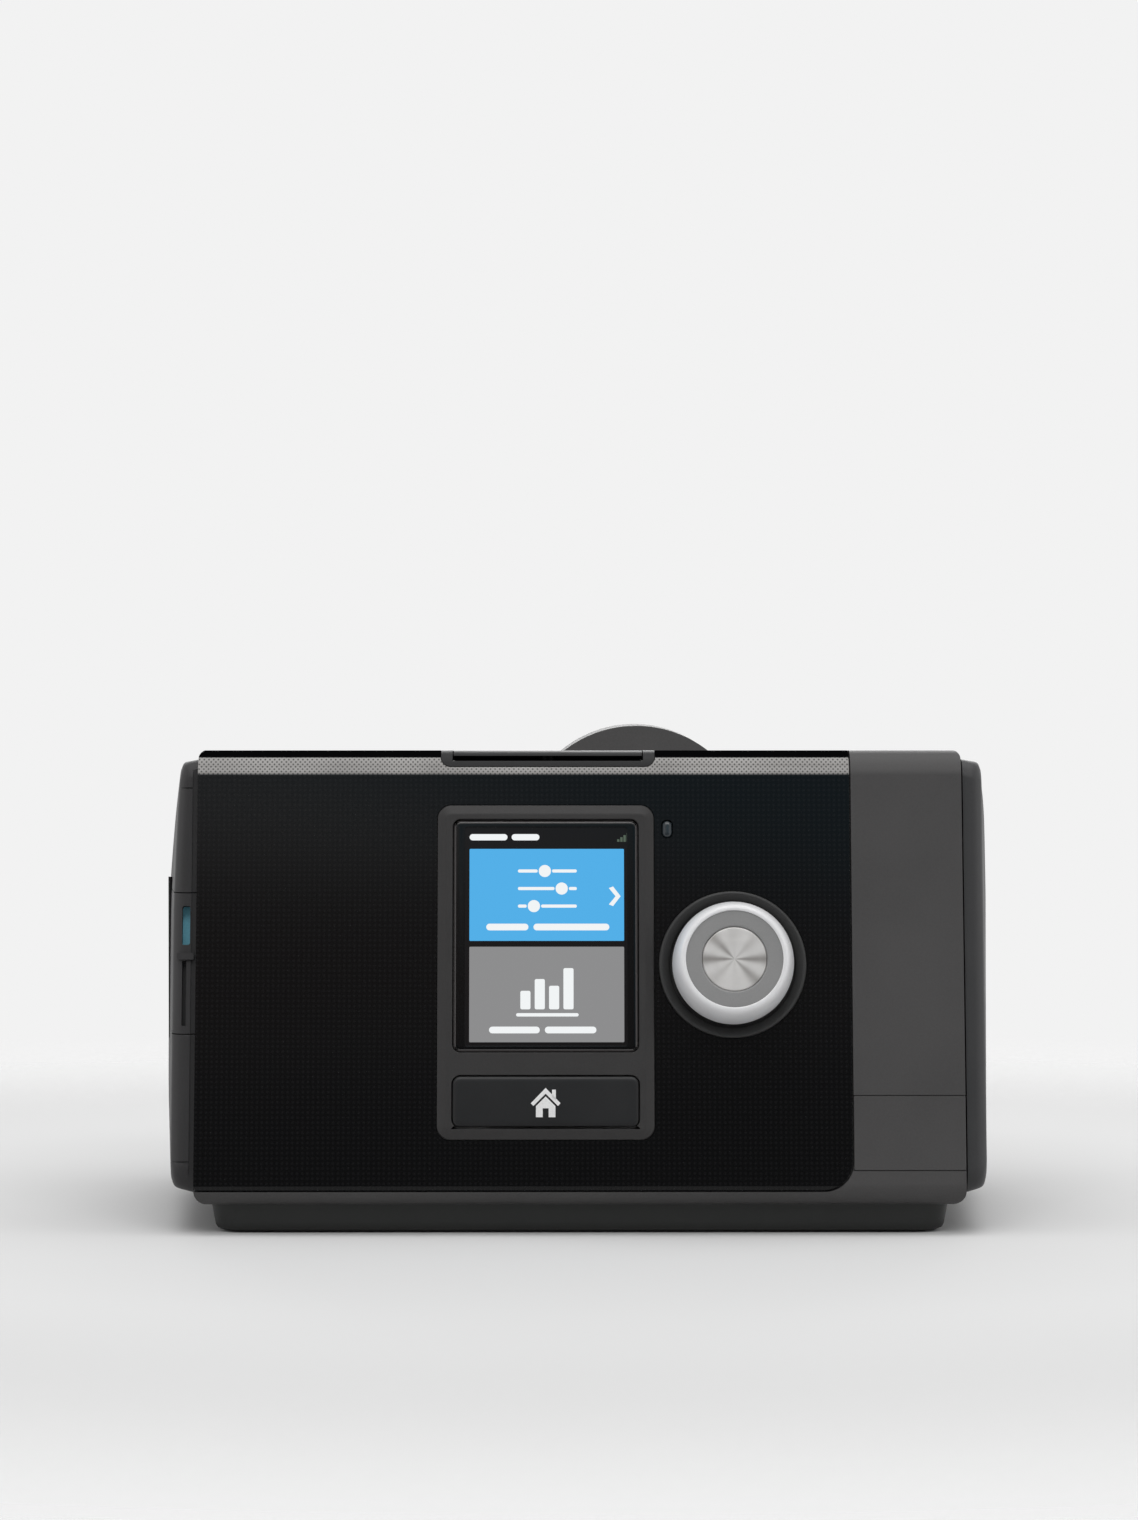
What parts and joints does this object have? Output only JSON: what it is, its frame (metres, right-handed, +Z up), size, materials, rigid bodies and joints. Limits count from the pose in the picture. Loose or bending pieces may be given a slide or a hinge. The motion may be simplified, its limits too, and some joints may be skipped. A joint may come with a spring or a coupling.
{
  "type": "cpap machine",
  "caption": "Bedside breathing-air machine: box body with gloss fascia, colour display, push-and-turn dial, home and start buttons, slide-out humidifier tub and rear hose outlet.",
  "frame": {"origin": "on the standing surface, under the middle of the outline", "axes": "+X to the viewer's right along the width, +Y to the back, +Z up"},
  "size_m": [0.205, 0.1514, 0.1183],
  "materials": {
    "charcoal_plastic": "fine moulded texture, matt",
    "bezel_plastic": "satin moulded plastic",
    "fascia_gloss": "gloss black with a fine dot pattern",
    "base_plastic": "matt moulded plastic",
    "foot_rubber": "soft rubber",
    "lens_glass": "clear cover lens over a dark mask",
    "lcd_screen": "lit screen",
    "button_black": "satin black button",
    "knob_silver": "silver painted rim",
    "dial_grey": "grey translucent ring",
    "spun_metal": "spun metal disc",
    "circuit_board": "green solder mask",
    "steel": "plain steel",
    "plate_aluminium": "bare aluminium",
    "airpath_plastic": "natural moulded plastic",
    "filter_pad": "needled filter pad",
    "card_blue": "blue moulded plastic",
    "socket_black": "black moulded plastic",
    "tub_clear": "smoky translucent tub",
    "seal_silicone": "silicone seal"
  },
  "bodies": {
    "root": {"base_tray": "base_plastic", "rubber_feet": "foot_rubber", "base_screws": "steel", "main_housing": "charcoal_plastic", "front_fascia": "fascia_gloss", "badge_panel": "charcoal_plastic", "left_end_cap": "charcoal_plastic", "display_bezel": "bezel_plastic", "display_lens": "lens_glass", "lcd_panel": "lcd_screen", "home_switch": "steel", "dial_ring": "button_black", "dial_encoder": "circuit_board", "light_window": "lens_glass", "start_trim": "fascia_gloss", "start_switch_board": "circuit_board", "main_pcb": "circuit_board", "pcb_screws": "steel", "blower_volute": "airpath_plastic", "blower_cover": "airpath_plastic", "blower_motor": "steel", "blower_mounts": "foot_rubber", "air_duct": "airpath_plastic", "intake_plenum": "airpath_plastic", "filter_frame": "base_plastic", "air_filter": "filter_pad", "filter_hinge_pin": "steel", "sd_door_pin": "steel", "sd_card": "card_blue", "sd_socket": "steel", "service_socket": "socket_black", "power_inlet": "socket_black", "clip_pin": "steel", "tub_dock": "base_plastic", "heater_plate": "plate_aluminium", "heater_springs": "steel", "outlet_shroud": "charcoal_plastic", "outlet_seal": "seal_silicone", "outlet_duct": "airpath_plastic"},
    "home_button": {"home_button": "button_black"},
    "start_button": {"start_button": "button_black"},
    "dial_shaft": {"dial_plunger": "steel"},
    "dial": {"dial_knob": "knob_silver", "dial_face": "dial_grey", "dial_cap": "spun_metal"},
    "impeller": {"impeller": "airpath_plastic"},
    "filter_cover": {"filter_cover": "charcoal_plastic"},
    "sd_card_door": {"sd_card_door": "charcoal_plastic"},
    "service_cover": {"service_cover": "charcoal_plastic"},
    "retention_clip": {"retention_clip": "socket_black"},
    "outlet_connector": {"outlet_connector": "socket_black"},
    "humidifier_tub": {"tub_body": "tub_clear", "tub_lid": "tub_clear", "tub_seal": "seal_silicone", "tub_heat_plate": "plate_aluminium", "tub_end_cap": "charcoal_plastic", "tub_latch": "socket_black"}
  },
  "joints": [
    {"name": "home_press", "type": "slide", "parent": "root", "child": "home_button", "axis": [0, 0.9848, -0.1736], "range_m": [0, 0.0008], "stiffness_N_per_m": 600, "springref_m": -0.001},
    {"name": "start_press", "type": "slide", "parent": "root", "child": "start_button", "axis": [0, 0, -1], "range_m": [0, 0.001], "stiffness_N_per_m": 600, "springref_m": -0.001},
    {"name": "dial_press", "type": "slide", "parent": "root", "child": "dial_shaft", "axis": [0, 0.9848, -0.1736], "range_m": [0, 0.0008], "stiffness_N_per_m": 900, "springref_m": -0.001},
    {"name": "dial_turn", "type": "hinge", "parent": "dial_shaft", "child": "dial", "pos_m": [0.0362, -0.06107, 0.06333], "axis": [0, -0.9848, 0.1736], "continuous": true},
    {"name": "impeller_spin", "type": "hinge", "parent": "root", "child": "impeller", "pos_m": [-0.049, 0, 0.034], "axis": [0, 0, 1], "continuous": true},
    {"name": "filter_cover_swing", "type": "hinge", "parent": "root", "child": "filter_cover", "pos_m": [-0.0834, 0.0579, 0.036], "axis": [0, 0, 1], "range_deg": [0, 100]},
    {"name": "sd_door_swing", "type": "hinge", "parent": "root", "child": "sd_card_door", "pos_m": [-0.0989, -0.0356, 0.047], "axis": [0, 0, -1], "range_deg": [0, 100]},
    {"name": "service_cover_pull", "type": "slide", "parent": "root", "child": "service_cover", "axis": [-1, 0, 0], "range_m": [0, 0.02]},
    {"name": "tub_slide", "type": "slide", "parent": "root", "child": "humidifier_tub", "axis": [1, 0, 0], "range_m": [0, 0.11]},
    {"name": "clip_swing", "type": "hinge", "parent": "root", "child": "retention_clip", "pos_m": [-0.02, 0.0607, 0.038], "axis": [-1, 0, 0], "range_deg": [0, 120]},
    {"name": "connector_pull", "type": "slide", "parent": "root", "child": "outlet_connector", "axis": [0, 1, 0], "range_m": [0, 0.04]}
  ]
}
